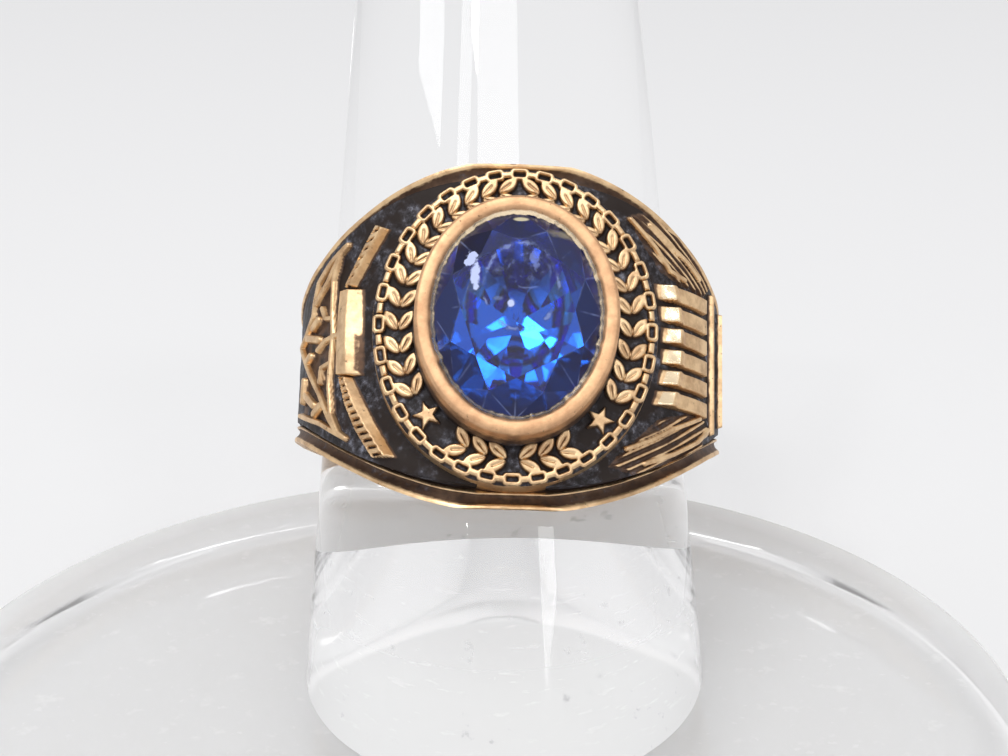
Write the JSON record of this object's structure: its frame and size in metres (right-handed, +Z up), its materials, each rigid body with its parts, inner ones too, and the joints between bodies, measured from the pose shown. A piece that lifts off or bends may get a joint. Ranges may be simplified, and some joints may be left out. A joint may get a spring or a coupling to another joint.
{
  "type": "class ring on a clear display stand",
  "caption": "Cast class ring with an oval faceted blue stone in a collar setting, held on a leaning clear rod that stands on a round clear base.",
  "frame": {"origin": "centre of the display base's underside", "axes": "+Z up, the stone faces -Y and upward, the rod leans toward +Y, +X is to the viewer's right"},
  "size_m": [0.0554, 0.062, 0.0455],
  "materials": {
    "antique_gold": "satin cast gold with blackened recesses",
    "blue_stone": "faceted transparent royal blue",
    "clear_acrylic": "polished clear acrylic"
  },
  "bodies": {
    "root": {"ring_band": "antique_gold", "stone": "blue_stone", "stand_rod": "clear_acrylic", "stand_base": "clear_acrylic"}
  },
  "joints": []
}
